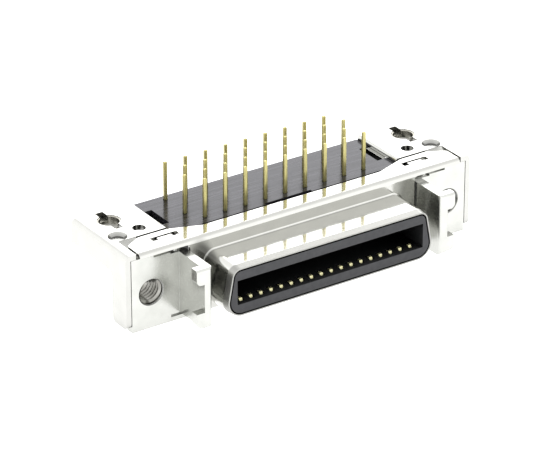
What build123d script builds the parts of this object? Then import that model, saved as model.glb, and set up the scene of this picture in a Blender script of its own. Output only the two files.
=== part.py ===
from build123d import *
import os

# Right-angle shielded ribbon receptacle, shown tails up, mating face towards -Y.
# Millimetres. +Z points to the circuit board, X runs along the contact rows.
# The origin lies on the board seat, midway between the two hold-down holes.

# Contact field
contact_pitch = 1.27
contacts_per_row = 18
contact_width = 0.39
contact_thickness = 0.25
contact_clearance = 0.02
contact_bend = 0.55
tail_height = 3.95
tail_tip_chamfer = 0.07
front_tail_row_y = -3.97
tail_row_pitch = 1.905

# Nose and mating slot
mating_below_middle = 0.20
nose_face_y = -13.62
nose_height = 4.86
nose_end_wall = 1.08
nose_side_angle = 10.5
nose_top_radius = 0.70
nose_bottom_radius = 1.40
slot_end_margin = 1.005
slot_height = 2.80
slot_depth = 5.05
groove_front_wall = 0.60
groove_rear_gap = 0.10
groove_clearance = 0.06

# Contact noses in the slot
bump_y = -12.42
bump_rise = 0.12
bump_crest_length = 0.18
bump_front_length = 0.35
bump_rear_length = 0.45
beam_drop = 0.42

# Front shell
shell_sheet = 0.40
shell_bend = 0.20
shell_face_y = -8.57
shell_face_margin = 0.98
shell_face_corner = 0.40
shell_height = 9.00
shell_end_gap = 0.30
shell_lip_depth = 0.50
shell_bottom_flange = 3.60
shell_flange_root = 1.50
shell_rear_mid_y = -6.30
shell_rear_gap = 0.34
shell_step_lead = 0.30
shell_step_run = 3.60
shell_step_radius = 2.00
shell_end_radius = 0.80
shell_corner_run = 1.90
shell_corner_y = -6.07
shell_corner_radius = 0.40
shroud_sheet = 0.26
shroud_length = 5.06
shroud_gap = 0.18
shroud_root_radius = 0.20
shroud_rim_drop = 0.12
shroud_rim_run = 0.90
lock_slot_from_hole = 2.92
lock_slot_y = -6.27
lock_slot_length = 3.25
lock_slot_width = 0.80
lock_slot_corner = 0.12

# Insulator block behind the shell
body_side_gap = 0.10
body_step_y = -5.65
body_rear_y = -4.87
body_side_wall = 1.00
body_edge_chamfer = 0.30

# Tail plate
plate_top_z = -0.53
plate_thickness = 0.87
plate_side_gap = 0.07
plate_front_y = -5.20
plate_rear_y = 2.63
plate_side_notch_depth = 1.20
plate_side_notch_length = 3.50
plate_side_notch_y = -1.27
plate_front_notch_x = 0.33
plate_front_notch_width = 5.90
plate_front_notch_depth = 0.33
tail_hole_clearance = 0.04

# Rear shell
rear_sheet = 0.40
rear_bend = 0.20
rear_wall_y = 2.20
rear_top_gap = 0.05
rear_tab_top_z = -0.62
rear_tab_gap = 0.12
rear_front_gap = 0.07

# Board brackets
bracket_sheet = 0.60
bracket_bend = 0.35
bracket_side_gap = 0.02
bracket_end_margin = 3.08
bracket_rear_y = 2.55
bracket_front_y = -4.68
bracket_lip_width = 1.28
side_band_depth = 2.80
side_wall_lift = 0.50
side_wall_length = 2.75
side_wall_corner = 0.60
inner_lip_depth = 0.85
inner_lip_length = 4.80
inner_lip_radius = 0.30
hold_down_from_jack = -0.03
hold_down_radius = 1.30
hold_down_slit_width = 0.95
hold_down_slit_length = 4.22
locating_hole_from_hole = 1.70
locating_hole_y = -3.19
locating_hole_radius = 0.72
notch_from_hole = 1.18
notch_y = -3.62
notch_radius = 1.05
notch_depth = 0.40
notch_slope = 30
tongue_width = 1.75
tongue_sheet = 0.40
tongue_clearance = 0.02
tongue_front_gap = 0.08
tongue_bend = 0.25
tongue_top_gap = 0.05
tongue_lap = 0.60

# Latch plates
latch_sheet = 1.00
latch_front_y = -8.22
latch_side_gap = 0.08
latch_arm_gap = 0.15
latch_bend = 0.52
latch_top_z = -0.62
latch_relief_from_jack = 0.35
latch_relief_z = -0.93
latch_slit = 0.30
latch_slit_length = 2.07
arm_top_z = -1.10
arm_bottom_lift = 0.80
hook_front_y = -13.07
hook_reach = 0.95
hook_upper_height = 1.80
hook_lower_height = 1.70
hook_lower_lift = 0.35
hook_corner_radius = 0.45
hook_edge_radius = 0.60
arm_nose_chamfer = 0.35
hook_top_chamfer = 0.20

# Jack nuts
jack_from_arm = 4.45
jack_below_mating = 0.15
jack_thread_radius = 1.42
jack_mouth_chamfer = 0.10
jack_nut_size = 3.90
jack_nut_length = 2.80
jack_nut_chamfer = 0.40

# Hold-down nuts
board_nut_radius = 2.30
board_nut_thickness = 0.80
board_nut_thread_radius = 1.10
board_nut_clearance = 0.06
board_nut_rim_depth = 0.05
board_nut_countersink = 0.06

# Places along X, chained outwards from the contact rows
slot_half_width = (contacts_per_row - 1) / 2 * contact_pitch + slot_end_margin
nose_bottom_half_width = slot_half_width + nose_end_wall
shroud_half_width = nose_bottom_half_width + shroud_gap + shroud_sheet
shell_face_half_width = shroud_half_width + shell_face_margin
body_half_width = shell_face_half_width - body_side_gap
bracket_inner_x = body_half_width + rear_sheet + bracket_side_gap
plate_half_width = bracket_inner_x - plate_side_gap
latch_arm_x = shell_face_half_width + latch_arm_gap
latch_slit_end_x = latch_arm_x + latch_slit_length
hook_reach_x = latch_arm_x + latch_sheet + hook_reach
jack_x = latch_arm_x + jack_from_arm
hold_down_x = jack_x + hold_down_from_jack
locating_hole_x = hold_down_x - locating_hole_from_hole
lock_slot_x = hold_down_x - lock_slot_from_hole
notch_x = hold_down_x + notch_from_hole
bracket_half_width = hold_down_x + bracket_end_margin
latch_outer_x = bracket_half_width - bracket_sheet - latch_side_gap
shell_half_width = bracket_half_width - bracket_lip_width - shell_end_gap
shell_step_outer_x = bracket_inner_x + shell_step_lead
shell_step_inner_x = shell_step_outer_x - shell_step_run
shell_corner_x = shell_half_width - shell_corner_run

# Levels and planes that several pieces share
mating_centre_z = -shell_height / 2 - mating_below_middle
jack_z = mating_centre_z - jack_below_mating
arm_bottom_z = arm_bottom_lift - shell_height
hook_lower_bottom_z = arm_bottom_z + hook_lower_lift
side_wall_depth = shell_height - side_wall_lift
slot_back_y = nose_face_y + slot_depth
groove_front_y = nose_face_y + groove_front_wall
groove_rear_y = bump_y + bump_rear_length + groove_rear_gap
beam_offset = slot_height / 2 + beam_drop
bump_offset = slot_height / 2 - bump_rise + contact_thickness / 2
shell_back_y = shell_face_y + shell_sheet
body_top_z = -shell_sheet
body_bottom_z = shell_sheet - shell_height
plate_bottom_z = plate_top_z - plate_thickness
rear_wall_top_z = plate_bottom_z - rear_top_gap
bracket_corner_y = latch_front_y
latch_back_y = latch_front_y + latch_sheet
shell_rear_end_y = bracket_front_y - shell_rear_gap
lock_slot_front_y = lock_slot_y - lock_slot_width / 2
tongue_end_y = lock_slot_front_y + tongue_front_gap + tongue_sheet / 2

os.makedirs("parts", exist_ok=True)


def finish(part, label):
    """Label a finished piece and write its file."""
    part.label = label
    export_step(part, f"parts/{label}.step")
    print(f"{label:22s} {part.volume:9.3f} mm3")


def finish_opposite(part, label):
    """Write the opposite hand of a piece."""
    with BuildPart() as twin:
        mirror(part, about=Plane.YZ)
    finish(twin.part, label)


def front_plane(y):
    """Upright plane at a given y, facing the mating side."""
    return Plane.XZ.offset(-y)


def contact_x(index):
    """Place of a contact along its row."""
    return (index - (contacts_per_row - 1) / 2) * contact_pitch


def tail_y(index, lower):
    """Tail row of a contact: neighbours stagger, and the lower row takes the two rear rows."""
    row = (0 if index % 2 else 1) + (2 if lower else 0)
    return front_tail_row_y + row * tail_row_pitch


def draw_nose(plane, growth):
    """Draw the D-shaped nose section, wide side down, grown by a distance."""
    with BuildSketch(plane) as section:
        with Locations((0, mating_centre_z)):
            Trapezoid(2 * nose_bottom_half_width, nose_height, 90 - nose_side_angle)
        fillet(section.vertices().group_by(Axis.Y)[-1], nose_top_radius)
        fillet(section.vertices().group_by(Axis.Y)[0], nose_bottom_radius)
        if growth > 0:
            offset(amount=growth, mode=Mode.REPLACE)
    return section.sketch


# Contacts: nose bump in the slot, beam through the block, tail up through the plate
def make_contact(index, lower):
    """Build one contact of the upper or the lower row."""
    side = -1 if lower else 1
    beam_z = mating_centre_z + side * beam_offset
    bump_z = mating_centre_z + side * bump_offset
    rear_y = tail_y(index, lower)
    with BuildPart() as contact:
        with BuildSketch(Plane.YZ.offset(contact_x(index))):
            with BuildLine() as path:
                Polyline(
                    (bump_y - bump_front_length, beam_z),
                    (bump_y - bump_crest_length / 2, bump_z),
                    (bump_y + bump_crest_length / 2, bump_z),
                    (bump_y + bump_rear_length, beam_z),
                    (rear_y - contact_bend, beam_z),
                    (rear_y, beam_z + contact_bend),
                    (rear_y, tail_height),
                )
            trace(path.line, line_width=contact_thickness)
        extrude(amount=contact_width / 2, both=True)
        chamfer(contact.faces().sort_by(Axis.Z)[-1].edges(), tail_tip_chamfer)
    return contact.part


for contact_index in range(contacts_per_row):
    finish(make_contact(contact_index, False), f"upper_contact_{contact_index + 1:02d}")
    finish(make_contact(contact_index, True), f"lower_contact_{contact_index + 1:02d}")


# Front shell: top flange, face, bottom flange and drawn shroud in one stamping
with BuildPart() as front_shell:
    with BuildSketch(Plane.YZ):
        with BuildLine() as fold:
            FilletPolyline(
                (shell_face_y + shell_flange_root, -shell_sheet / 2),
                (shell_face_y + shell_sheet / 2, -shell_sheet / 2),
                (shell_face_y + shell_sheet / 2, shell_sheet / 2 - shell_height),
                (shell_face_y + shell_bottom_flange, shell_sheet / 2 - shell_height),
                radius=shell_bend + shell_sheet / 2,
            )
        trace(fold.line, line_width=shell_sheet)
    extrude(amount=shell_half_width, both=True)
    # The face ends beside the latch arms; the top runs on as a lip over the latch plates
    wing_width = shell_half_width - shell_face_half_width + 1
    wing_drop = shell_height - shell_lip_depth + 1
    with BuildSketch(front_plane(shell_face_y)):
        with GridLocations(2 * shell_face_half_width + wing_width, 0, 2, 1):
            with Locations((0, -shell_lip_depth - wing_drop / 2)):
                RectangleRounded(wing_width, wing_drop, shell_face_corner)
    extrude(amount=-shell_bottom_flange, mode=Mode.SUBTRACT)
    # Top flange, stepped back at both ends, with slots that take the bracket tongues
    with BuildSketch(Plane.XY):
        with BuildLine():
            rear_edge = FilletPolyline(
                (0, shell_rear_mid_y),
                (shell_step_inner_x, shell_rear_mid_y),
                (shell_step_outer_x, shell_rear_end_y),
                (shell_corner_x, shell_rear_end_y),
                (shell_half_width, shell_corner_y),
                (shell_half_width, shell_face_y + shell_flange_root / 2),
                radius=[
                    shell_step_radius,
                    shell_end_radius,
                    shell_end_radius,
                    shell_corner_radius,
                ],
            )
            Polyline(
                rear_edge @ 1,
                (0, shell_face_y + shell_flange_root / 2),
                rear_edge @ 0,
            )
        make_face()
        mirror(about=Plane.YZ)
    extrude(amount=-shell_sheet)
    with BuildSketch(Plane.XY):
        with Locations((lock_slot_x, lock_slot_y), (-lock_slot_x, lock_slot_y)):
            RectangleRounded(lock_slot_length, lock_slot_width, lock_slot_corner)
    extrude(amount=-shell_sheet, mode=Mode.SUBTRACT)
    # Drawn shroud round the nose
    extrude(draw_nose(front_plane(shell_face_y), shroud_gap + shroud_sheet), amount=shroud_length)
    shroud_reach = nose_height / 2 + shroud_gap + 2 * shroud_sheet
    shroud_root = (
        front_shell.edges()
        .filter_by_position(Axis.Y, shell_face_y - 0.01, shell_face_y + 0.01)
        .filter_by_position(Axis.Z, mating_centre_z - shroud_reach, mating_centre_z + shroud_reach)
        .filter_by(lambda edge: abs(edge.center().X) < shell_face_half_width - shell_sheet)
    )
    fillet(shroud_root, shroud_root_radius)
    rim_face = front_shell.faces().sort_by(Axis.Y)[0]
    chamfer(rim_face.edges(), shroud_rim_drop, shroud_rim_run, reference=rim_face)
    nose_opening = draw_nose(front_plane(shell_back_y), shroud_gap)
    extrude(nose_opening, amount=shroud_length + shell_sheet, mode=Mode.SUBTRACT)
finish(front_shell.part, "front_shell")


# Insulator body: nose with the tongue slot, block behind the face, two rear side walls
side_wall_depth_y = rear_wall_y - body_rear_y
with BuildPart() as insulator_body:
    with BuildSketch(Plane.YZ):
        with BuildLine():
            Polyline(
                (shell_back_y, body_bottom_z),
                (shell_back_y, body_top_z),
                (body_step_y, body_top_z),
                (body_step_y, plate_bottom_z),
                (body_rear_y, plate_bottom_z),
                (body_rear_y, body_bottom_z),
                close=True,
            )
        make_face()
    extrude(amount=body_half_width, both=True)
    front_edges = insulator_body.edges().filter_by(Axis.X).group_by(Axis.Y)[0]
    chamfer(front_edges, body_edge_chamfer)
    # Side walls carry the tail plate back to the rear shell
    with BuildSketch(Plane.XY.offset(plate_bottom_z)):
        with GridLocations(2 * body_half_width - body_side_wall, 0, 2, 1):
            with Locations((0, body_rear_y + side_wall_depth_y / 2)):
                Rectangle(body_side_wall, side_wall_depth_y)
    extrude(amount=body_bottom_z - plate_bottom_z)
    rear_corners = (
        insulator_body.edges()
        .filter_by(Axis.Z)
        .group_by(Axis.Y)[-1]
        .filter_by(lambda edge: abs(edge.center().X) > body_half_width - body_side_wall / 2)
    )
    chamfer(rear_corners, body_edge_chamfer)
    extrude(draw_nose(front_plane(shell_back_y), 0), amount=shell_back_y - nose_face_y)
    with BuildSketch(front_plane(slot_back_y)):
        with Locations((0, mating_centre_z)):
            Rectangle(2 * slot_half_width, slot_height)
    extrude(amount=slot_depth, mode=Mode.SUBTRACT)
    # Pockets round the contact noses behind a short front wall, and tunnels through the block
    groove_outer = beam_offset + contact_thickness / 2 + contact_clearance
    groove_inner = slot_height / 2 - contact_clearance
    with BuildSketch(front_plane(groove_rear_y)):
        with Locations((0, mating_centre_z)):
            with GridLocations(contact_pitch, groove_outer + groove_inner, contacts_per_row, 2):
                Rectangle(contact_width + 2 * groove_clearance, groove_outer - groove_inner)
    extrude(amount=groove_rear_y - groove_front_y, mode=Mode.SUBTRACT)
    with BuildSketch(front_plane(body_rear_y)):
        with Locations((0, mating_centre_z)):
            with GridLocations(contact_pitch, 2 * beam_offset, contacts_per_row, 2):
                Rectangle(
                    contact_width + 2 * contact_clearance,
                    contact_thickness + 2 * contact_clearance,
                )
    extrude(amount=body_rear_y - groove_rear_y, mode=Mode.SUBTRACT)
finish(insulator_body.part, "insulator_body")


# Tail plate: holds the four staggered tail rows at the board
with BuildPart() as tail_plate:
    with BuildSketch(Plane.XY.offset(plate_top_z)):
        with Locations((0, (plate_front_y + plate_rear_y) / 2)):
            Rectangle(2 * plate_half_width, plate_rear_y - plate_front_y)
        with Locations((plate_half_width, plate_side_notch_y), (-plate_half_width, plate_side_notch_y)):
            Rectangle(2 * plate_side_notch_depth, plate_side_notch_length, mode=Mode.SUBTRACT)
        with Locations((plate_front_notch_x, plate_front_y)):
            Rectangle(plate_front_notch_width, 2 * plate_front_notch_depth, mode=Mode.SUBTRACT)
        tail_places = [
            (contact_x(index), tail_y(index, lower))
            for index in range(contacts_per_row)
            for lower in (False, True)
        ]
        with Locations(tail_places):
            Rectangle(
                contact_width + 2 * tail_hole_clearance,
                contact_thickness + 2 * tail_hole_clearance,
                mode=Mode.SUBTRACT,
            )
    extrude(amount=-plate_thickness)
finish(tail_plate.part, "tail_plate")


# Rear shell: bottom, two sides and back wall behind the insulator
rear_front_y = shell_face_y + shell_bottom_flange + rear_front_gap
rear_length = rear_wall_y - rear_front_y
with BuildPart() as rear_shell:
    with BuildSketch(Plane.XY.offset(-shell_height)) as rear_outline:
        with Locations((0, rear_front_y + (rear_length + rear_sheet) / 2)):
            Rectangle(2 * (body_half_width + rear_sheet), rear_length + rear_sheet)
        fillet(rear_outline.vertices().group_by(Axis.Y)[-1], rear_bend + rear_sheet)
    extrude(amount=shell_height + rear_wall_top_z)
    with BuildSketch(Plane.XY.offset(body_bottom_z)) as rear_inside:
        with Locations((0, rear_front_y + rear_length / 2)):
            Rectangle(2 * body_half_width, rear_length)
        fillet(rear_inside.vertices().group_by(Axis.Y)[-1], rear_bend)
    extrude(amount=shell_height, mode=Mode.SUBTRACT)
    # A tab on each side wall stands up in the tail plate's side notch
    with BuildSketch(Plane.XY.offset(rear_wall_top_z)):
        with Locations((0, plate_side_notch_y)):
            with GridLocations(2 * body_half_width + rear_sheet, 0, 2, 1):
                Rectangle(rear_sheet, plate_side_notch_length - 2 * rear_tab_gap)
    extrude(amount=rear_tab_top_z - rear_wall_top_z)
finish(rear_shell.part, "rear_shell")


# Board brackets: flange on the board, outer side wall, and a tongue into the front shell
with BuildPart() as right_bracket:
    with BuildSketch(front_plane(bracket_corner_y)):
        with BuildLine() as angle:
            FilletPolyline(
                (bracket_inner_x, -bracket_sheet / 2),
                (bracket_half_width - bracket_sheet / 2, -bracket_sheet / 2),
                (bracket_half_width - bracket_sheet / 2, -side_wall_depth),
                radius=bracket_bend,
            )
        trace(angle.line, line_width=bracket_sheet)
    extrude(amount=bracket_corner_y - bracket_rear_y)
    # Ahead of the flange only a narrow strip stays along the side wall
    flange_cut = bracket_half_width - bracket_lip_width
    with BuildSketch(Plane.XY):
        with Locations((flange_cut / 2, (bracket_corner_y + bracket_front_y) / 2)):
            Rectangle(flange_cut, bracket_front_y - bracket_corner_y)
        with Locations((hold_down_x, 0)):
            Circle(hold_down_radius)
            Rectangle(hold_down_slit_width, hold_down_slit_length)
        with Locations((locating_hole_x, locating_hole_y)):
            Circle(locating_hole_radius)
    extrude(amount=-bracket_sheet, mode=Mode.SUBTRACT)
    with BuildSketch(Plane.XY):
        with Locations((notch_x, notch_y)):
            Circle(notch_radius)
    extrude(amount=-notch_depth, taper=notch_slope, mode=Mode.SUBTRACT)
    # Behind its full-depth front part the side wall is a shallow band
    wall_step_y = bracket_corner_y + side_wall_length
    with BuildSketch(Plane.YZ.offset(bracket_half_width)) as wall_cut:
        with Locations((wall_step_y, -side_band_depth)):
            Rectangle(
                bracket_rear_y - wall_step_y,
                side_wall_depth - side_band_depth,
                align=(Align.MIN, Align.MAX),
            )
        fillet(wall_cut.vertices().sort_by(Axis.X)[0:2].sort_by(Axis.Y)[-1], side_wall_corner)
    extrude(amount=-2 * bracket_sheet, mode=Mode.SUBTRACT)
    wall_foot = right_bracket.edges().filter_by(Axis.X).group_by(Axis.Z)[0]
    fillet(wall_foot, side_wall_corner)
    # Turned-down inner edge beside the insulator
    with BuildSketch(front_plane(bracket_rear_y)):
        with Locations((bracket_inner_x, 0)):
            Rectangle(bracket_sheet, inner_lip_depth, align=(Align.MIN, Align.MAX))
    extrude(amount=inner_lip_length)
    lip_bend = (
        right_bracket.edges()
        .filter_by(Axis.Y)
        .filter_by_position(Axis.X, bracket_inner_x - 0.01, bracket_inner_x + 0.01)
        .group_by(Axis.Z)[-1]
    )
    fillet(lip_bend, inner_lip_radius)
    # Tongue under the shell flange, its end turned up in the lock slot
    with BuildSketch(Plane.YZ.offset(lock_slot_x)):
        tongue_z = -shell_sheet - tongue_clearance - tongue_sheet / 2
        with BuildLine() as tongue:
            FilletPolyline(
                (bracket_front_y + tongue_lap, tongue_z),
                (tongue_end_y, tongue_z),
                (tongue_end_y, -tongue_top_gap),
                radius=tongue_bend,
            )
        trace(tongue.line, line_width=tongue_sheet)
    extrude(amount=tongue_width / 2, both=True)
finish(right_bracket.part, "right_bracket")
finish_opposite(right_bracket.part, "left_bracket")


# Latch plates: threaded front plate with a hooked spring arm beside the shroud
with BuildPart() as right_latch_plate:
    with BuildSketch(front_plane(latch_front_y)):
        with BuildLine():
            Polyline(
                (latch_outer_x, latch_top_z),
                (jack_x - latch_relief_from_jack, latch_top_z),
                (jack_x - latch_relief_from_jack, latch_relief_z),
                (latch_slit_end_x, latch_relief_z),
                (latch_slit_end_x, arm_bottom_z - latch_slit),
                (latch_arm_x, arm_bottom_z - latch_slit),
                (latch_arm_x, -shell_height),
                (latch_outer_x, -shell_height),
                close=True,
            )
        make_face()
    extrude(amount=-latch_sheet)
    with BuildSketch(Plane.XY.offset(arm_bottom_z)):
        with BuildLine() as arm:
            FilletPolyline(
                (jack_x, latch_front_y + latch_sheet / 2),
                (latch_arm_x + latch_sheet / 2, latch_front_y + latch_sheet / 2),
                (latch_arm_x + latch_sheet / 2, hook_front_y),
                radius=latch_bend,
            )
        trace(arm.line, line_width=latch_sheet)
    extrude(amount=arm_top_z - arm_bottom_z)
    arm_nose = right_latch_plate.edges().filter_by(Axis.X).group_by(Axis.Y)[0]
    chamfer(arm_nose.sort_by(Axis.Z)[0], arm_nose_chamfer)
    # Two hook lips at the end of the arm
    with BuildSketch(front_plane(hook_front_y)) as lips:
        with Locations((latch_arm_x, arm_top_z)):
            Rectangle(
                hook_reach_x - latch_arm_x, hook_upper_height, align=(Align.MIN, Align.MAX)
            )
        with Locations((latch_arm_x, hook_lower_bottom_z)):
            Rectangle(
                hook_reach_x - latch_arm_x, hook_lower_height, align=(Align.MIN, Align.MIN)
            )
        outer_corners = lips.vertices().group_by(Axis.X)[-1].sort_by(Axis.Y)
        fillet([outer_corners[0], outer_corners[2]], hook_edge_radius)
    extrude(amount=-latch_sheet)
    hook_top = right_latch_plate.edges().filter_by(Axis.X).group_by(Axis.Y)[0].group_by(Axis.Z)[-1]
    chamfer(hook_top, hook_top_chamfer)
    with BuildSketch(front_plane(latch_front_y)):
        with Locations((jack_x, jack_z)):
            Circle(jack_thread_radius)
    extrude(amount=-latch_sheet, mode=Mode.SUBTRACT)
    mouth = (
        right_latch_plate.edges()
        .filter_by(GeomType.CIRCLE)
        .filter_by(lambda edge: abs(edge.radius - jack_thread_radius) < 0.001)
        .sort_by(Axis.Y)
    )
    chamfer(mouth[0], jack_mouth_chamfer)
    hook_corners = (
        right_latch_plate.edges()
        .filter_by(Axis.Z)
        .filter_by_position(Axis.Y, hook_front_y - 0.01, hook_front_y + 0.01)
        .filter_by_position(Axis.X, latch_arm_x - 0.01, latch_arm_x + 0.01)
    )
    fillet(hook_corners, hook_corner_radius)
finish(right_latch_plate.part, "right_latch_plate")
finish_opposite(right_latch_plate.part, "left_latch_plate")


# Jack nuts: threaded blocks seated behind the latch plates
with BuildPart() as right_jack_nut:
    with BuildSketch(front_plane(latch_back_y)):
        with Locations((jack_x, jack_z)):
            Rectangle(jack_nut_size, jack_nut_size)
    extrude(amount=-jack_nut_length)
    chamfer(right_jack_nut.edges().filter_by(Axis.Y), jack_nut_chamfer)
    with BuildSketch(front_plane(latch_back_y)):
        with Locations((jack_x, jack_z)):
            Circle(jack_thread_radius)
    extrude(amount=-jack_nut_length, mode=Mode.SUBTRACT)
finish(right_jack_nut.part, "right_jack_nut")
finish_opposite(right_jack_nut.part, "left_jack_nut")


# Hold-down nuts: flat washers under the flange with a slit collar up in the hole
def make_hold_down_nut(x):
    """Build the nut under one hold-down hole, its slit collar up in the hole."""
    with BuildPart() as nut:
        with BuildSketch(Plane.XY.offset(-bracket_sheet)):
            with Locations((x, 0)):
                Circle(board_nut_radius)
        extrude(amount=-board_nut_thickness)
        with BuildSketch(Plane.XY.offset(-bracket_sheet)):
            with Locations((x, 0)):
                Circle(hold_down_radius - board_nut_clearance)
        extrude(amount=bracket_sheet - board_nut_rim_depth)
        with BuildSketch(Plane.XY):
            with Locations((x, 0)):
                Circle(board_nut_thread_radius)
        extrude(amount=-bracket_sheet - board_nut_thickness, mode=Mode.SUBTRACT)
        rim = nut.faces().sort_by(Axis.Z)[-1].inner_wires()[0]
        chamfer(rim.edges(), board_nut_countersink)
        with BuildSketch(Plane.XY):
            with Locations((x, 0)):
                Rectangle(hold_down_slit_width, hold_down_slit_length)
        extrude(amount=-bracket_sheet, mode=Mode.SUBTRACT)
    return nut.part


finish(make_hold_down_nut(hold_down_x), "right_hold_down_nut")
finish(make_hold_down_nut(-hold_down_x), "left_hold_down_nut")
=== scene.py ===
"""Studio scene of a right-angle shielded ribbon receptacle, tails up, on a pale floor.

Everything is in metres in the part's own frame: +Z points to the circuit board, X runs along
the contact rows and the mating face looks towards -Y.
"""

import enum
import logging
import math
from dataclasses import dataclass, field

import bpy
from mathutils import Matrix, Vector


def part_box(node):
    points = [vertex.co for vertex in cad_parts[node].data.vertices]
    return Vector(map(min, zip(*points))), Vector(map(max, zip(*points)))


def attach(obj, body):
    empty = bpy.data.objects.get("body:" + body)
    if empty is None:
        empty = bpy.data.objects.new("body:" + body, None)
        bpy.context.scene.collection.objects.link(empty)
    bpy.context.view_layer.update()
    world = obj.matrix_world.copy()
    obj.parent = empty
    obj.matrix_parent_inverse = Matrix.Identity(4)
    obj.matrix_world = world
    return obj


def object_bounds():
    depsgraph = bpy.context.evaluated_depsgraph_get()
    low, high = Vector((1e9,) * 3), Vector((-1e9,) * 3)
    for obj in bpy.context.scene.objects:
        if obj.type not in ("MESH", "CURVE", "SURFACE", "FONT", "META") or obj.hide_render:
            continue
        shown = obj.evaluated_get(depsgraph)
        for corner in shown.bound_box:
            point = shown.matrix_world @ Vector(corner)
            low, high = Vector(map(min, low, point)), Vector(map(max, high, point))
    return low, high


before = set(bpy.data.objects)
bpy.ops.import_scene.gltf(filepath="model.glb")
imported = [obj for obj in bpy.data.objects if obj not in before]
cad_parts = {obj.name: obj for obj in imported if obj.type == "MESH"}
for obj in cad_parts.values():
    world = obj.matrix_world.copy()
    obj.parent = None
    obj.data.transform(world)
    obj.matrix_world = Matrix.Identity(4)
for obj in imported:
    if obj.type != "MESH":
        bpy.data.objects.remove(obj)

CAD_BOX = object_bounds()
MM = 0.001
LOG = logging.getLogger("receptacle")

# Most noise values lie between these two.
NOISE_LOW, NOISE_HIGH = 0.3, 0.7
# Openness of a tight crevice, and of a surface that stands free.
TIGHT, FREE = 0.15, 0.85
CREVICE_SAMPLES = 8
EDGE_SAMPLES = 4
# Two levels nearer to each other than this are the same.
SAME_LEVEL = 0.001 * MM
EDGE_SEGMENTS = 3
THREAD_SMOOTHING = math.radians(35)
SHEET_SMOOTHING = math.radians(50)
WHITE = (1.0, 1.0, 1.0)

Triple = tuple[float, float, float]
Socket = bpy.types.NodeSocket


class Side(enum.Enum):
    """The two ends of the receptacle, by the sign of their X."""

    LEFT = -1
    RIGHT = 1

    @property
    def word(self) -> str:
        """The word that node names start with."""
        return self.name.lower()


class Direction(enum.Enum):
    """Which way a rolled or rubbed grain runs on a surface, as the stretch of its pattern."""

    ALONG_X = (0.04, 1.0, 1.0)
    ALONG_Y = (1.0, 0.04, 1.0)
    ALONG_Z = (1.0, 1.0, 0.04)
    NONE = (1.0, 1.0, 1.0)


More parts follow.
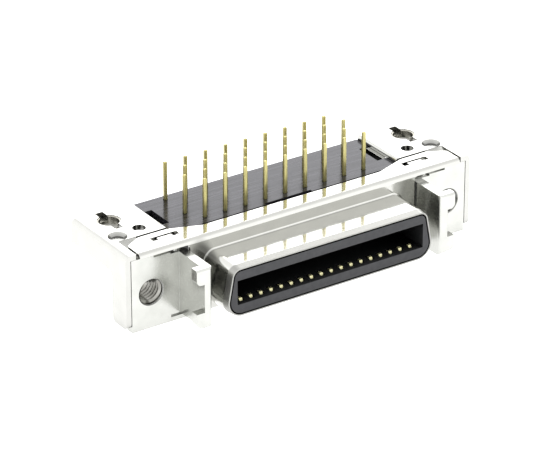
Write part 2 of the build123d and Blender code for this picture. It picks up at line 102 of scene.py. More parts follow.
class NodeSheet:
    """A material with a Principled shader and short calls that add and link nodes."""

    def __init__(self, name: str) -> None:
        """Start an empty material.

        Args:
            name: The material's name.
        """
        self.material = bpy.data.materials.new(name)
        self.material.use_nodes = True
        self.tree = self.material.node_tree
        self.shader = self.tree.nodes["Principled BSDF"]
        self.coordinates = self.tree.nodes.new("ShaderNodeTexCoord")

    def add(self, kind: str, **values: object) -> bpy.types.Node:
        """Add a node and set its properties or sockets by name.

        Args:
            kind: Blender's name of the node type.
            values: Property names, or socket names with spaces as underscores.

        Returns:
            The new node.
        """
        node = self.tree.nodes.new(kind)
        for name, value in values.items():
            if hasattr(node, name):
                setattr(node, name, value)
            else:
                node.inputs[name.replace("_", " ")].default_value = value
        return node

    def link(self, source: Socket, target: Socket) -> None:
        """Link two sockets."""
        self.tree.links.new(source, target)

    def feed(self, name: str, source: Socket) -> None:
        """Link a value or colour to an input of the shader."""
        self.link(source, self.shader.inputs[name])

    def fix(self, name: str, value: object) -> None:
        """Set an input of the shader to a value that is the same all over."""
        self.shader.inputs[name].default_value = value

    def axis(self, coordinates: str, letter: str) -> Socket:
        """Read one axis of the coordinates.

        Args:
            coordinates: Object or Normal.
            letter: X, Y or Z.

        Returns:
            The value along that axis.
        """
        split = self.add("ShaderNodeSeparateXYZ")
        self.link(self.coordinates.outputs[coordinates], split.inputs[0])
        return split.outputs[letter]

    def noise(
        self, size: float, direction: Direction = Direction.NONE, detail: float = 3.0
    ) -> Socket:
        """A noise value in object space.

        Args:
            size: Rough size of the blotches in metres.
            direction: Which way the pattern is drawn out.
            detail: Octaves of the noise.

        Returns:
            The noise factor.
        """
        mapping = self.add("ShaderNodeMapping", Scale=direction.value)
        self.link(self.coordinates.outputs["Object"], mapping.inputs["Vector"])
        node = self.add("ShaderNodeTexNoise", Scale=1.0 / size, Detail=detail)
        self.link(mapping.outputs["Vector"], node.inputs["Vector"])
        return node.outputs["Fac"]

    def spread(
        self,
        value: Socket,
        low: float,
        high: float,
        start: float = NOISE_LOW,
        end: float = NOISE_HIGH,
    ) -> Socket:
        """Map a value from one range to another, held at the ends.

        Args:
            value: The value to map.
            low: Result at the start of the range.
            high: Result at the end of the range.
            start: Value that gives low.
            end: Value that gives high.

        Returns:
            The mapped value.
        """
        node = self.add(
            "ShaderNodeMapRange", From_Min=start, From_Max=end, To_Min=low, To_Max=high
        )
        self.link(value, node.inputs["Value"])
        return node.outputs["Result"]

    def ramp(self, value: Socket, dark: Triple, light: Triple) -> Socket:
        """Blend two colours by a noise value.

        Args:
            value: The noise value.
            dark: Colour where the noise is low.
            light: Colour where it is high.

        Returns:
            The colour.
        """
        node = self.add("ShaderNodeValToRGB")
        ends = node.color_ramp.elements
        ends[0].position, ends[1].position = NOISE_LOW, NOISE_HIGH
        ends[0].color, ends[1].color = (*dark, 1.0), (*light, 1.0)
        self.link(value, node.inputs["Fac"])
        return node.outputs["Color"]

    def scale(self, colour: Socket, share: Socket) -> Socket:
        """Darken a colour to a share of itself.

        Args:
            colour: The full colour.
            share: The share of it that is left.

        Returns:
            The darkened colour.
        """
        node = self.add("ShaderNodeVectorMath", operation="SCALE")
        self.link(colour, node.inputs[0])
        self.link(share, node.inputs["Scale"])
        return node.outputs["Vector"]

    def absolute(self, value: Socket) -> Socket:
        """Drop the sign of a value."""
        node = self.add("ShaderNodeMath", operation="ABSOLUTE")
        self.link(value, node.inputs[0])
        return node.outputs[0]

    def shade(self, colour: Socket, reach: float, deepest: float, free: float = FREE) -> Socket:
        """Darken a colour with painted shade in corners and crevices.

        Args:
            colour: The colour in the open.
            reach: How far away a neighbour still counts, in metres.
            deepest: Share of the colour left in the tightest crevice.
            free: Openness from which the colour is untouched.

        Returns:
            The darkened colour.
        """
        node = self.add("ShaderNodeAmbientOcclusion", samples=CREVICE_SAMPLES, Distance=reach)
        return self.scale(colour, self.spread(node.outputs["AO"], deepest, 1.0, TIGHT, free))

    def bump(self, height: Socket, depth: float, edge: float) -> Socket:
        """A bumped normal on rounded edges.

        Args:
            height: The height pattern.
            depth: Depth of the pattern in metres.
            edge: Radius of rounded edges in metres.

        Returns:
            The normal.
        """
        rounded = self.add("ShaderNodeBevel", samples=EDGE_SAMPLES, Radius=edge)
        node = self.add("ShaderNodeBump", Distance=depth)
        self.link(height, node.inputs["Height"])
        self.link(rounded.outputs["Normal"], node.inputs["Normal"])
        return node.outputs["Normal"]


def centre(node: str) -> Triple:
    """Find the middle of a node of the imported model.

    Args:
        node: Name of the node.

    Returns:
        The middle of its box.
    """
    low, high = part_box(node)
    return tuple((first + last) / 2 for first, last in zip(low, high))


@dataclass(frozen=True)
class Mark:
    """A patch or ring of painted shade on sheet metal.

    Attributes:
        place: Middle of the mark.
        radius: Radius of the patch, or of the ring's middle line.
        share: Share of the colour that the mark leaves.
        ring: Half the width of a ring; none makes a patch.
        core: Share of a patch's radius that is evenly dark.
    """

    place: Triple
    radius: float
    share: float
    ring: float = 0.0
    core: float = 0.5

    def darken(self, sheet: NodeSheet, colour: Socket) -> Socket:
        """Darken a colour inside the patch, or along the ring.

        Args:
            sheet: The material that the mark is on.
            colour: The colour around the mark.

        Returns:
            The colour with the mark.
        """
        distance = sheet.add("ShaderNodeVectorMath", operation="DISTANCE")
        sheet.link(sheet.coordinates.outputs["Object"], distance.inputs[0])
        distance.inputs[1].default_value = self.place
        reach = distance.outputs["Value"]
        if self.ring > 0:
            rim = sheet.add("ShaderNodeMath", operation="SUBTRACT")
            sheet.link(reach, rim.inputs[0])
            rim.inputs[1].default_value = self.radius
            kept = sheet.spread(sheet.absolute(rim.outputs[0]), self.share, 1.0, 0.0, self.ring)
        else:
            kept = sheet.spread(reach, self.share, 1.0, self.core * self.radius, self.radius)
        return sheet.scale(colour, kept)


@dataclass(frozen=True)
class BracketShade:
    """Painted shade marks on a bracket, measured from its hold-down hole: out to the end and
    ahead.
    """

    pocket_out: float = 1.18 * MM
    pocket_ahead: float = 3.55 * MM
    pocket_z: float = -0.35 * MM
    pocket_radius: float = 1.35 * MM
    pocket_share: float = 0.5
    collar_radius: float = 2.3 * MM
    collar_ring: float = 0.18 * MM
    collar_share: float = 0.85
    locating_in: float = 1.70 * MM
    locating_ahead: float = 3.19 * MM
    locating_z: float = -0.45 * MM
    locating_radius: float = 0.86 * MM
    locating_share: float = 0.6
    locating_core: float = 0.9

    def marks(self, side: Side) -> tuple[Mark, ...]:
        """Place the marks of one end.

        Args:
            side: The end.

        Returns:
            Painted shade on the bottom of the coined pocket, along a ring round the collar, and
            on the wall of the locating hole.
        """
        x, y, _ = centre(f"{side.word}_hold_down_nut")
        out = side.value
        pocket = (x + out * self.pocket_out, y - self.pocket_ahead, self.pocket_z)
        locating = (x - out * self.locating_in, y - self.locating_ahead, self.locating_z)
        return (
            Mark(pocket, self.pocket_radius, self.pocket_share),
            Mark((x, y, 0.0), self.collar_radius, self.collar_share, ring=self.collar_ring),
            Mark(locating, self.locating_radius, self.locating_share, core=self.locating_core),
        )


@dataclass(frozen=True)
class LatchShade:
    """A ring of painted shade at the mouth of a jack hole."""

    mouth_ahead: float = 0.97 * MM
    radius: float = 1.47 * MM
    ring: float = 0.09 * MM
    share: float = 0.25

    def marks(self, side: Side) -> tuple[Mark, ...]:
        """Place the ring of one end.

        Args:
            side: The end.

        Returns:
            The ring.
        """
        node = f"{side.word}_jack_nut"
        x, _, z = centre(node)
        mouth = (x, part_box(node)[0].y - self.mouth_ahead, z)
        return (Mark(mouth, self.radius, self.share, ring=self.ring),)


# Painted shade in the front shell's corner between face, shroud and left arm.
CORNER_SHADE = (
    Mark((-13.3 * MM, -8.7 * MM, -2.0 * MM), radius=1.95 * MM, share=0.48, core=0.5),
    Mark((-13.0 * MM, -8.6 * MM, -1.1 * MM), radius=1.1 * MM, share=0.75, core=0.2),
)


def both_ends(end_shade: BracketShade | LatchShade) -> tuple[Mark, ...]:
    """Place the marks of both ends.

    Args:
        end_shade: The painted shade marks of one end.

    Returns:
        The marks, left end first.
    """
    return tuple(mark for side in Side for mark in end_shade.marks(side))


@dataclass(frozen=True)
class SheetMetal:
    """Nickel plated metal: bright, slightly warm, with a faint grain.

    Attributes:
        name: Name of the material.
        dark: Reflectance in the darker blotches.
        light: Reflectance in the lighter ones.
        smooth: Roughness where the grain is low.
        rough: Roughness where it is high.
        grain: Which way the grain runs.
        crevice_shade_share: Share of the colour left by painted shade in a wide crevice.
        seam_shade_share: Share of the colour left by painted shade in a narrow seam.
        seam_free: Openness from which the seam's painted shade leaves the colour alone.
        marks: Patches and rings of painted shade.
        coined_front: Y level ahead of which the rim was coined, if it was.
    """

    name: str
    dark: Triple
    light: Triple
    smooth: float
    rough: float
    grain: Direction = Direction.NONE
    grain_size: float = 0.12 * MM
    grain_detail: float = 4.0
    grain_depth: float = 0.6e-6
    wave_size: float = 4.0 * MM
    wave_detail: float = 1.0
    wave_depth: float = 4e-6
    blotch_size: float = 1.6 * MM
    edge: float = 0.05 * MM
    crevice_reach: float = 2.5 * MM
    crevice_shade_share: float = 0.5
    seam_reach: float = 0.25 * MM
    seam_shade_share: float = 0.12
    seam_free: float = 0.6
    marks: tuple[Mark, ...] = ()
    coined_front: float | None = None
    coined_blur: float = 0.04 * MM
    coined_share: float = 0.65
    coined_rough: float = 0.38

    def material(self) -> bpy.types.Material:
        """Make the finish.

        Returns:
            The material.
        """
        sheet = NodeSheet(self.name)
        grain = sheet.noise(self.grain_size, self.grain, self.grain_detail)
        sheet.fix("Metallic", 1.0)
        colour = sheet.ramp(sheet.noise(self.blotch_size), self.dark, self.light)
        for mark in self.marks:
            colour = mark.darken(sheet, colour)
        colour = sheet.shade(colour, self.crevice_reach, self.crevice_shade_share)
        colour = sheet.shade(colour, self.seam_reach, self.seam_shade_share, self.seam_free)
        roughness = sheet.spread(grain, self.smooth, self.rough)
        if self.coined_front is not None:
            colour, roughness = self.coin(sheet, colour, roughness)
        sheet.feed("Base Color", colour)
        sheet.feed("Roughness", roughness)
        height = sheet.add("ShaderNodeMath", operation="MULTIPLY_ADD")
        waves = sheet.noise(self.wave_size, detail=self.wave_detail)
        sheet.link(waves, height.inputs[0])
        height.inputs[1].default_value = self.wave_depth / self.grain_depth
        sheet.link(grain, height.inputs[2])
        sheet.feed("Normal", sheet.bump(height.outputs[0], self.grain_depth, self.edge))
        return sheet.material

    def coin(
        self, sheet: NodeSheet, colour: Socket, roughness: Socket
    ) -> tuple[Socket, Socket]:
        """Roughen and dull the metal ahead of a level, where its rim was coined.

        Args:
            sheet: The material.
            colour: The colour elsewhere.
            roughness: The roughness elsewhere.

        Returns:
            The colour and the roughness with the coined rim.
        """
        level = sheet.axis("Object", "Y")
        blur = (self.coined_front - self.coined_blur, self.coined_front + self.coined_blur)
        kept = sheet.spread(level, self.coined_share, 1.0, *blur)
        rougher = sheet.add("ShaderNodeMath", operation="MAXIMUM")
        sheet.link(roughness, rougher.inputs[0])
        sheet.link(sheet.spread(level, self.coined_rough, 0.0, *blur), rougher.inputs[1])
        return sheet.scale(colour, kept), rougher.outputs[0]


@dataclass(frozen=True)
class Resin:
    """Moulded resin with a fine satin skin and flow lines.

    Attributes:
        name: Name of the material.
        dark: Colour in the darker flow lines.
        light: Colour in the lighter ones.
        smooth: Roughness where the skin is low.
        rough: Roughness where it is high.
        gloss: Specular level.
        flow: Which way the flow lines run.
        flow_share: Share of the gloss left in the darker flow lines.
        tint: Tint of the gloss.
        crevice_reach: How far away a neighbour counts, such as a tail or a slot's wall.
        crevice_shade_share: Share of colour and gloss left by painted shade in a crevice; 1
            leaves them alone.
        gloss_free: Openness from which the painted shade leaves the gloss alone.
    """

    name: str
    dark: Triple
    light: Triple
    smooth: float
    rough: float
    gloss: float
    tint: Triple
    crevice_shade_share: float
    crevice_reach: float = 0.7 * MM
    gloss_free: float = 0.8
    skin_size: float = 0.08 * MM
    skin_depth: float = 2e-6
    edge: float = 0.04 * MM
    flow: Direction = Direction.NONE
    flow_share: float = 1.0
    flow_size: float = 0.5 * MM

    def material(self) -> bpy.types.Material:
        """Make the finish.

        Returns:
            The material.
        """
        sheet = NodeSheet(self.name)
        skin = sheet.noise(self.skin_size)
        flow = sheet.noise(self.flow_size, self.flow)
        sheet.fix("Specular IOR Level", self.gloss)
        colour = sheet.ramp(flow, self.dark, self.light)
        sheet.feed("Base Color", sheet.shade(colour, self.crevice_reach, self.crevice_shade_share))
        lined = sheet.ramp(flow, tuple(part * self.flow_share for part in self.tint), self.tint)
        gloss = sheet.shade(lined, self.crevice_reach, self.crevice_shade_share, self.gloss_free)
        sheet.feed("Specular Tint", gloss)
        sheet.feed("Roughness", sheet.spread(skin, self.smooth, self.rough))
        sheet.feed("Normal", sheet.bump(skin, self.skin_depth, self.edge))
        return sheet.material


@dataclass(frozen=True)
class GoldPlate:
    """Gold plated contact metal with faint streaks along the tail.

    Attributes:
        dark: Colour of the tail's darker streaks.
        light: Colour of the lighter ones.
        nose: Colour that is mixed in towards the nose.
        nose_to_tail: Y levels between which the mix changes.
        tail_share_ahead: Share of the tail's colour ahead of them.
        tail_share_behind: Share of the tail's colour behind them.
        foot_reach: How high the shade at a tail's foot stands.
        foot_share: Share of the colour left there.
        side_shade_share: Share of the colour left by painted shade on the sheared sides.
        side_turn: How far a normal points along X where the side's shade starts and ends.
    """

    name: str = "gold_plate"
    dark: Triple = (0.31, 0.262, 0.065)
    light: Triple = (0.67, 0.592, 0.195)
    nose: Triple = (0.52, 0.51, 0.34)
    nose_to_tail: tuple[float, float] = (-11.0 * MM, -9.0 * MM)
    tail_share_ahead: float = 0.3
    tail_share_behind: float = 0.7
    metallic: float = 0.72
    smooth: float = 0.20
    rough: float = 0.32
    streak_size: float = 0.10 * MM
    streak_depth: float = 1e-6
    edge: float = 0.03 * MM
    foot_reach: float = 0.9 * MM
    foot_share: float = 0.10
    side_shade_share: float = 0.60
    side_turn: tuple[float, float] = (0.3, 0.8)

    def material(self) -> bpy.types.Material:
        """Make the finish.

        Returns:
            The material.
        """
        sheet = NodeSheet(self.name)
        streaks = sheet.noise(self.streak_size, Direction.ALONG_Z)
        sheet.fix("Metallic", self.metallic)
        level = sheet.axis("Object", "Y")
        shares = (self.tail_share_ahead, self.tail_share_behind)
        blend = sheet.add("ShaderNodeMix", data_type="RGBA")
        sheet.link(sheet.spread(level, *shares, *self.nose_to_tail), blend.inputs["Factor"])
        blend.inputs["A"].default_value = (*self.nose, 1.0)
        sheet.link(sheet.ramp(streaks, self.dark, self.light), blend.inputs["B"])
        colour = self.shade_sides(sheet, blend.outputs["Result"])
        sheet.feed("Base Color", sheet.shade(colour, self.foot_reach, self.foot_share))
        sheet.feed("Roughness", sheet.spread(streaks, self.smooth, self.rough))
        sheet.feed("Normal", sheet.bump(streaks, self.streak_depth, self.edge))
        return sheet.material

    def shade_sides(self, sheet: NodeSheet, colour: Socket) -> Socket:
        """Paint shade on the sheared sides of the strip, which face along X.

        Args:
            sheet: The material.
            colour: The colour of the rolled faces.

        Returns:
            The colour with painted shade on the sides.
        """
        sideways = sheet.absolute(sheet.axis("Normal", "X"))
        kept = sheet.spread(sideways, 1.0, self.side_shade_share, *self.side_turn)
        return sheet.scale(colour, kept)


class Finishes:
    """The finishes that the receptacle wears, made once."""

    def __init__(self) -> None:
        """Make every finish."""
        # A crevice or seam share below 1 paints shade into a finish's colour.
        self.shell = SheetMetal(
            "shell_nickel", dark=(0.475, 0.475, 0.452), light=(0.495, 0.495, 0.470),
            smooth=0.09, rough=0.14, grain=Direction.ALONG_X, crevice_shade_share=1.0,
            marks=CORNER_SHADE, coined_front=-12.75 * MM,
        ).material()
        self.bracket = SheetMetal(
            "bracket_nickel", dark=(0.45, 0.45, 0.43), light=(0.475, 0.475, 0.455),
            smooth=0.14, rough=0.22, grain=Direction.ALONG_Y, marks=both_ends(BracketShade()),
        ).material()
        # A darker copy of the bracket's nickel: painted shade on the ramp under the flange.
        self.ramp = SheetMetal(
            "shaded_ramp_nickel", dark=(0.31, 0.31, 0.295), light=(0.37, 0.37, 0.35),
            smooth=0.22, rough=0.34, grain=Direction.ALONG_Y, crevice_shade_share=1.0, seam_shade_share=0.8,
        ).material()
        self.latch = SheetMetal(
            "latch_nickel", dark=(0.47, 0.475, 0.45), light=(0.52, 0.525, 0.50),
            smooth=0.20, rough=0.28, grain_size=0.10 * MM, crevice_shade_share=0.9,
            marks=both_ends(LatchShade()),
        ).material()
        self.nut = SheetMetal(
            "nut_nickel", dark=(0.30, 0.29, 0.25), light=(0.42, 0.41, 0.37),
            smooth=0.20, rough=0.32, crevice_shade_share=0.2,
        ).material()
        # A darker copy of the nut's nickel: painted shade down the threaded holes.
        self.thread = SheetMetal(
            "shaded_thread_metal", dark=(0.15, 0.147, 0.13), light=(0.36, 0.355, 0.335),
            smooth=0.10, rough=0.18, crevice_reach=1.2 * MM, crevice_shade_share=0.35,
            seam_reach=0.35 * MM, seam_shade_share=0.02, edge=0.015 * MM,
        ).material()
        self.body = Resin(
            "body_resin", dark=(0.018, 0.019, 0.020), light=(0.027, 0.028, 0.029),
            smooth=0.34, rough=0.46, gloss=0.33, tint=(0.97, 0.95, 1.0),
            crevice_reach=5.0 * MM, crevice_shade_share=0.03,
        ).material()
        self.plate = Resin(
            "plate_resin", dark=(0.002, 0.002, 0.003), light=(0.030, 0.029, 0.033),
            smooth=0.12, rough=0.22, gloss=0.18, tint=(0.80, 0.795, 1.0), crevice_shade_share=0.2,
            flow=Direction.ALONG_X, flow_size=0.28 * MM, flow_share=0.5,
        ).material()
        self.gold = GoldPlate().material()


def dress(node: str, material: bpy.types.Material) -> None:
    """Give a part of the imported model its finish.

    Args:
        node: Name of the node.
        material: The finish.
    """
    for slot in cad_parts[node].material_slots:
        slot.material = material
    LOG.info("dressed %s in %s", node, material.name)


def clear_selection() -> None:
    """Leave edit mode with nothing selected."""
    if bpy.context.object is not None and bpy.context.object.mode != "OBJECT":
        bpy.ops.object.mode_set(mode="OBJECT")
    bpy.ops.object.select_all(action="DESELECT")


def take(piece: bpy.types.Object) -> None:
    """Select one piece alone and make it the active one."""
    clear_selection()
    piece.select_set(True)
    bpy.context.view_layer.objects.active = piece


def apply_place() -> None:
    """Move the place, turn and size of the selected piece into its mesh."""
    bpy.ops.object.transform_apply(location=True, rotation=True, scale=True)


def face_outwards(piece: bpy.types.Object) -> None:
    """Turn every face of a piece to the outside."""
    take(piece)
    bpy.ops.object.mode_set(mode="EDIT")
    bpy.ops.mesh.select_all(action="SELECT")
    bpy.ops.mesh.normals_make_consistent(inside=False)
    bpy.ops.object.mode_set(mode="OBJECT")


def for_both_ends(model: bpy.types.Object) -> dict[Side, bpy.types.Object]:
    """Keep a model for the left end and copy it for the right end.

    Args:
        model: The piece, modelled once.

    Returns:
        The piece of each end, each with its own mesh.
    """
    take(model)
    bpy.ops.object.duplicate(linked=False)
    return {Side.LEFT: model, Side.RIGHT: bpy.context.object}


def add_block(size: Triple, middle: Triple) -> bpy.types.Object:
    """Add a block to shape a piece from.

    Args:
        size: Its length along X, Y and Z.
        middle: Its middle.

    Returns:
        The block, with its place and size in its mesh.
    """
    clear_selection()
    bpy.ops.mesh.primitive_cube_add(size=1.0, location=middle)
    piece = bpy.context.object
    piece.scale = size
    apply_place()
    return piece


def round_edges(piece: bpy.types.Object, width: float) -> None:
    """Round the edges of a sheet metal piece.

    Args:
        piece: The active piece.
        width: Width of the rounding.
    """
    bevel = piece.modifiers.new("edges", "BEVEL")
    bevel.width = width
    bevel.segments = EDGE_SEGMENTS
    bpy.ops.object.modifier_apply(modifier="edges")
    bpy.ops.object.shade_smooth_by_angle(angle=SHEET_SMOOTHING)


def settle(piece: bpy.types.Object, name: str, material: bpy.types.Material) -> None:
    """Apply a piece's place to its mesh, name it, dress it and let it ride on the part.

    Args:
        piece: The finished piece.
        name: Its name.
        material: Its finish.
    """
    take(piece)
    apply_place()
    piece.name = name
    piece.data.name = name
    piece.data.materials.clear()
    piece.data.materials.append(material)
    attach(piece, "root")
    LOG.info("made %s with %d faces", name, len(piece.data.polygons))


@dataclass(frozen=True)
class ThreadForm:
    """Profile of a female thread, pressed a little into the wall that carries it.

    Attributes:
        root_radius: Radius of the ridge's foot, just inside the wall.
        crest_radius: Radius of its crest.
        pitch: Rise of one turn.
        foot_share: Share of the pitch that the foot takes.
        crest_share: Share of the foot's width that the crest keeps.
        steps: Faces in one turn.
    """

    root_radius: float
    crest_radius: float
    pitch: float
    foot_share: float = 0.98
    crest_share: float = 0.16
    steps: int = 40

    def wind(self, turns: int) -> bpy.types.Object:
        """Model the ridge's section and wind it round the Z axis.

        Args:
            turns: Whole turns of the thread.

        Returns:
            The ridge, its first turn starting at the origin's height.
        """
        clear_selection()
        depth = self.root_radius - self.crest_radius
        middle = (self.root_radius + self.crest_radius) / 2
        bpy.ops.mesh.primitive_plane_add(size=1.0, rotation=(math.radians(90), 0.0, 0.0))
        piece = bpy.context.object
        piece.scale = (depth, self.pitch * self.foot_share, 1.0)
        piece.location = (middle, 0.0, 0.0)
        apply_place()
        bpy.ops.object.mode_set(mode="EDIT")
        bpy.ops.mesh.select_all(action="SELECT")
        bpy.ops.mesh.delete(type="ONLY_FACE")
        bpy.ops.object.mode_set(mode="OBJECT")
        for vertex in piece.data.vertices:
            vertex.select = vertex.co.x < middle
        bpy.ops.object.mode_set(mode="EDIT")
        bpy.ops.transform.resize(value=(1.0, 1.0, self.crest_share))
        bpy.ops.object.mode_set(mode="OBJECT")
        screw = piece.modifiers.new("winding", "SCREW")
        screw.axis = "Z"
        screw.screw_offset = self.pitch
        screw.iterations = turns
        screw.steps = self.steps
        screw.render_steps = self.steps
        bpy.ops.object.modifier_apply(modifier="winding")
        face_outwards(piece)
        bpy.ops.object.shade_smooth_by_angle(angle=THREAD_SMOOTHING)
        return piece


@dataclass
class JackThreads:
    """The helical threads in the jack holes."""

    axis_z: float = -4.85 * MM
    form: ThreadForm = ThreadForm(
        root_radius=1.43 * MM, crest_radius=1.17 * MM, pitch=0.45 * MM
    )
    plate_sheet: float = 1.0 * MM
    lead_in: float = 0.1 * MM

    def build(self, material: bpy.types.Material) -> None:
        """Wind the thread once and lead it through latch plate and jack nut at both ends.

        Args:
            material: The finish.
        """
        low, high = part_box("left_jack_nut")
        front_y = low.y - self.plate_sheet
        start_y = front_y + self.lead_in + self.form.pitch / 2
        turns = int((high.y - front_y - 2 * self.lead_in) / self.form.pitch) - 1
        for side, piece in for_both_ends(self.form.wind(turns)).items():
            piece.rotation_euler = (math.radians(-90), math.radians(180), 0.0)
            piece.location = (centre(f"{side.word}_jack_nut")[0], start_y, self.axis_z)
            settle(piece, f"{side.word}_jack_thread", material)


@dataclass
class HoldDownThreads:
    """The fine threads in the hold-down nuts."""

    form: ThreadForm = ThreadForm(
        root_radius=1.11 * MM, crest_radius=0.95 * MM, pitch=0.40 * MM, crest_share=0.12, steps=32
    )
    plain_depth: float = 0.20 * MM
    foot_gap: float = 0.02 * MM

    def build(self, material: bpy.types.Material) -> None:
        """Wind the thread once and set it in the collar and nut of both ends.

        Args:
            material: The finish.
        """
        low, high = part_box("left_hold_down_nut")
        start_z = low.z + self.form.pitch / 2 + self.foot_gap
        turns = int((high.z - low.z - self.plain_depth) / self.form.pitch) - 1
        for side, piece in for_both_ends(self.form.wind(turns)).items():
            x, y, _ = centre(f"{side.word}_hold_down_nut")
            piece.location = (x, y, start_z)
            settle(piece, f"{side.word}_hold_down_thread", material)


@dataclass
class ContactField:
    """The gold contacts of both rows."""

    per_row: int = 18

    def dress(self, finishes: Finishes) -> None:
        """Gild every contact."""
        for row in ("upper", "lower"):
            for index in range(1, self.per_row + 1):
                dress(f"{row}_contact_{index:02d}", finishes.gold)


@dataclass
class Insulator:
    """The black body and the tail plate."""

    def dress(self, finishes: Finishes) -> None:
        """Dress both mouldings."""
        dress("insulator_body", finishes.body)
        dress("tail_plate", finishes.plate)


@dataclass
class Shells:
    """Front and rear shells."""

    def dress(self, finishes: Finishes) -> None:
        """Dress both shells."""
        dress("front_shell", finishes.shell)
        dress("rear_shell", finishes.shell)


@dataclass
class Joggles:
    """The ramps of the brackets' flanges, which step down under the front shell's cut corners.

    Attributes:
        low_z: Top of the lowered sheet.
        high_z: Top of the ramp's rear edge.
        front_y: Front edge of the sheet.
        rear_y: Rear edge of the ramp.
        corner_run: How far the shell's cut corner reaches in from the shell's end.
        corner_rear_y: Where the cut corner starts at the back.
        corner_front_y: Where it meets the shell's end.
        lip_gap: Gap to the bracket's lip.
        lip_width: How far that lip reaches in from the bracket's end.
        edge: Width of the rounded edges.
    """

    sheet: float = 0.35 * MM
    low_z: float = -0.43 * MM
    high_z: float = -0.01 * MM
    front_y: float = -6.60 * MM
    rear_y: float = -4.65 * MM
    corner_run: float = 1.90 * MM
    corner_rear_y: float = -4.93 * MM
    corner_front_y: float = -6.00 * MM
    lip_gap: float = 0.02 * MM
    lip_width: float = 1.28 * MM
    edge: float = 0.05 * MM

    def build(self, material: bpy.types.Material) -> None:
        """Model the ramp of each end in its place, because the two are mirror images.

        Args:
            material: The finish.
        """
        for side in Side:
            piece = self.model(side)
            settle(piece, f"{side.word}_bracket_joggle", material)

    def model(self, side: Side) -> bpy.types.Object:
        """Model the lowered sheet of one end and fold it up to the flange.

        Args:
            side: The end.

        Returns:
            The sheet with its ramp.
        """
        sign = side.value
        shell_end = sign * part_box("front_shell")[1].x
        low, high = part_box(f"{side.word}_bracket")
        bracket_end = high.x if side is Side.RIGHT else low.x
        inner = shell_end - sign * self.corner_run
        outer = bracket_end - sign * (self.lip_width + self.lip_gap)
        middle_y = (self.front_y + self.rear_y) / 2
        piece = add_block(
            (abs(outer - inner), self.rear_y - self.front_y, self.sheet),
            ((inner + outer) / 2, middle_y, self.low_z - self.sheet / 2),
        )
        corner = Vector((inner, self.corner_rear_y, 0.0))
        self.fold_up(piece, corner, Vector((shell_end, self.corner_front_y, 0.0)) - corner)
        round_edges(piece, self.edge)
        return piece

    def fold_up(self, piece: bpy.types.Object, corner: Vector, run: Vector) -> None:
        """Crease the sheet along the shell's cut corner and raise its rear edge.

        Args:
            piece: The flat sheet.
            corner: Where the cut corner starts at the back.
            run: From there to where it meets the shell's end.
        """
        bpy.ops.object.mode_set(mode="EDIT")
        bpy.ops.mesh.select_all(action="SELECT")
        bpy.ops.mesh.bisect(
            plane_co=corner, plane_no=run.cross(Vector((0.0, 0.0, 1.0))).normalized()
        )
        bpy.ops.mesh.select_all(action="DESELECT")
        bpy.ops.object.mode_set(mode="OBJECT")
        for vertex in piece.data.vertices:
            vertex.select = abs(vertex.co.y - self.rear_y) < SAME_LEVEL
        bpy.ops.object.mode_set(mode="EDIT")
        bpy.ops.transform.translate(value=(0.0, 0.0, self.high_z - self.low_z))
        bpy.ops.object.mode_set(mode="OBJECT")


@dataclass
class LockTongues:
    """The flattened heads of the brackets' tongues, which nearly fill the shell's lock slots.

    Attributes:
        from_hole: Distance in from the hold-down hole.
        half_length: Half the length along X.
        edge: Width of the rounded edges.
    """

    from_hole: float = 2.92 * MM
    half_length: float = 0.90 * MM
    front_y: float = -6.24 * MM
    rear_y: float = -6.04 * MM
    top_z: float = -0.05 * MM
    depth: float = 0.34 * MM
    edge: float = 0.04 * MM

    def build(self, material: bpy.types.Material) -> None:
        """Model one head and set it behind the upturned end of each tongue.

        Args:
            material: The finish.
        """
        piece = add_block(
            (2 * self.half_length, self.rear_y - self.front_y, self.depth),
            (0.0, (self.front_y + self.rear_y) / 2, self.top_z - self.depth / 2),
        )
        round_edges(piece, self.edge)
        for side, end in for_both_ends(piece).items():
            end.location.x = centre(f"{side.word}_hold_down_nut")[0] - side.value * self.from_hole
            settle(end, f"{side.word}_lock_tongue", material)


@dataclass
class EndFittings:
    """Brackets, latch plates, jack nuts and hold-down nuts of both ends."""

    joggles: Joggles = field(default_factory=Joggles)
    lock_tongues: LockTongues = field(default_factory=LockTongues)
    jack_threads: JackThreads = field(default_factory=JackThreads)
    hold_down_threads: HoldDownThreads = field(default_factory=HoldDownThreads)

    def build(self, finishes: Finishes) -> None:
        """Dress the parts of both ends, and add ramps, lock tongue heads and threads.

        Args:
            finishes: The finishes to put on.
        """
        for side in Side:
            dress(f"{side.word}_bracket", finishes.bracket)
            dress(f"{side.word}_latch_plate", finishes.latch)
            dress(f"{side.word}_jack_nut", finishes.nut)
            dress(f"{side.word}_hold_down_nut", finishes.nut)
        self.joggles.build(finishes.ramp)
        self.lock_tongues.build(finishes.bracket)
        self.jack_threads.build(finishes.thread)
        self.hold_down_threads.build(finishes.thread)


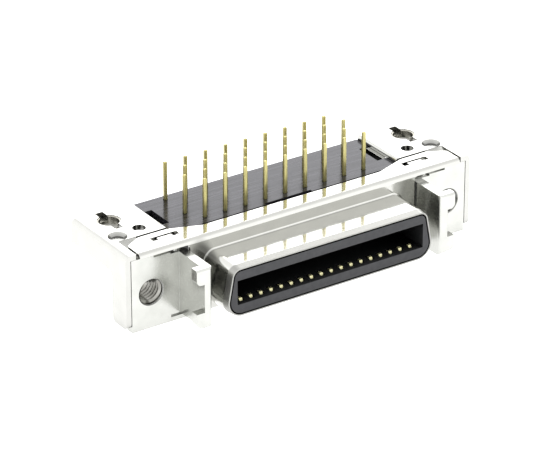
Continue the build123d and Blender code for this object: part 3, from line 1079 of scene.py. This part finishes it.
@dataclass(frozen=True)
class Viewpoint:
    """The camera at the photograph's place, by its frame of 540 by 450 pixels.

    Attributes:
        azimuth: Turn of the view about Z, in radians.
        elevation: Its tilt down, in radians.
        distance: From the camera to the level of its aim.
        offset_right: How far the aim lies right of the view's middle.
        offset_up: How far the aim lies above it.
        aim: The point that the camera was fitted round.
        focal_pixels: Focal length in pixels.
        frame_pixels: Width of the frame in pixels.
        sensor: Width of the sensor in Blender's millimetres.
        clip: Nearest and farthest distance that is shown.
    """

    azimuth: float = 0.591
    elevation: float = 0.468
    distance: float = 380.279 * MM
    offset_right: float = 1.081 * MM
    offset_up: float = 7.262 * MM
    aim: Triple = (0.0, -3.97 * MM, 3.95 * MM)
    focal_pixels: float = 3601.04
    frame_pixels: int = 540
    sensor: float = 36.0
    clip: tuple[float, float] = (0.01, 20.0)

    def build(self) -> bpy.types.Object:
        """Place the camera.

        Returns:
            The camera.
        """
        forward = Vector(
            (
                math.sin(self.azimuth) * math.cos(self.elevation),
                math.cos(self.azimuth) * math.cos(self.elevation),
                -math.sin(self.elevation),
            )
        )
        right = Vector((math.cos(self.azimuth), -math.sin(self.azimuth), 0.0))
        up = right.cross(forward)
        eye = (
            Vector(self.aim)
            - self.distance * forward
            - self.offset_right * right
            - self.offset_up * up
        )
        data = bpy.data.cameras.new("viewpoint")
        data.sensor_width = self.sensor
        data.lens = self.focal_pixels / self.frame_pixels * self.sensor
        data.clip_start, data.clip_end = self.clip
        camera = bpy.data.objects.new("viewpoint", data)
        bpy.context.scene.collection.objects.link(camera)
        turn = Matrix((right, up, -forward)).transposed()
        camera.matrix_world = Matrix.Translation(eye) @ turn.to_4x4()
        bpy.context.scene.camera = camera
        return camera


@dataclass(frozen=True)
class Softbox:
    """One rectangular studio light that faces the part."""

    name: str
    place: Triple
    size: tuple[float, float]
    radiance: float
    colour: Triple = WHITE
    aim: Triple = (0.0, -5.0 * MM, -4.0 * MM)

    def build(self) -> bpy.types.Object:
        """Hang the light.

        Returns:
            The light.
        """
        data = bpy.data.lights.new(self.name, "AREA")
        data.shape = "RECTANGLE"
        data.size, data.size_y = self.size
        data.energy = self.radiance * self.size[0] * self.size[1] * math.pi
        data.color = self.colour
        lamp = bpy.data.objects.new(self.name, data)
        bpy.context.scene.collection.objects.link(lamp)
        lamp.location = self.place
        towards = Vector(self.aim) - lamp.location
        lamp.rotation_euler = towards.to_track_quat("-Z", "Y").to_euler()
        return lamp


@dataclass
class Studio:
    """Pale floor, white surroundings and a softbox.

    Attributes:
        horizon: Brightness of the surroundings up to the height where they start to fall off.
        zenith: Their brightness from the height where the fall ends.
        fall: Those two heights, as the Z of a direction.
        glow: Light that the floor's paper gives off.
        paper: Its grey.
    """

    floor_size: float = 4.0
    floor_z: float = field(default_factory=lambda: CAD_BOX[0].z)
    horizon: float = 2.1
    zenith: float = 1.45
    fall: tuple[float, float] = (0.5, 0.85)
    glow: float = 1.55
    paper: float = 0.3
    paper_rough: float = 0.9
    paper_gloss: float = 0.1
    back_box: Softbox = Softbox(
        "back_box", place=(0.50, 0.74, 0.46), size=(0.9, 0.4), radiance=2.4
    )

    def build(self) -> None:
        """Lay the floor and light the scene."""
        self.lay_floor()
        world = bpy.data.worlds.new("studio_air")
        world.use_nodes = True
        self.shade_sky(world.node_tree)
        bpy.context.scene.world = world
        bpy.context.scene.view_settings.view_transform = "Standard"
        bpy.context.scene.view_settings.look = "None"
        self.back_box.build()

    def lay_floor(self) -> None:
        """Lay a sheet of pale paper under the part."""
        clear_selection()
        bpy.ops.mesh.primitive_plane_add(size=self.floor_size, location=(0, 0, self.floor_z))
        floor = bpy.context.object
        floor.name = "studio_floor"
        sheet = NodeSheet("studio_paper")
        sheet.fix("Base Color", (self.paper, self.paper, self.paper, 1.0))
        sheet.fix("Roughness", self.paper_rough)
        sheet.fix("Specular IOR Level", self.paper_gloss)
        sheet.fix("Emission Color", (*WHITE, 1.0))
        sheet.fix("Emission Strength", self.glow)
        floor.data.materials.append(sheet.material)

    def shade_sky(self, tree: bpy.types.NodeTree) -> None:
        """Let the white surroundings fall off from the horizon to straight above.

        Args:
            tree: The world's nodes.
        """
        background = tree.nodes["Background"]
        place = tree.nodes.new("ShaderNodeTexCoord")
        split = tree.nodes.new("ShaderNodeSeparateXYZ")
        fall = tree.nodes.new("ShaderNodeMapRange")
        tree.links.new(place.outputs["Generated"], split.inputs[0])
        tree.links.new(split.outputs["Z"], fall.inputs["Value"])
        fall.inputs["From Min"].default_value, fall.inputs["From Max"].default_value = self.fall
        fall.inputs["To Min"].default_value = self.horizon
        fall.inputs["To Max"].default_value = self.zenith
        tree.links.new(fall.outputs["Result"], background.inputs["Strength"])
        background.inputs["Color"].default_value = (*WHITE, 1.0)


def main() -> None:
    """Build the scene in order."""
    logging.basicConfig(level=logging.INFO, format="%(name)s: %(message)s")
    finishes = Finishes()
    Viewpoint().build()
    Studio().build()
    Shells().dress(finishes)
    Insulator().dress(finishes)
    ContactField().dress(finishes)
    EndFittings().build(finishes)


if __name__ == "__main__":
    main()
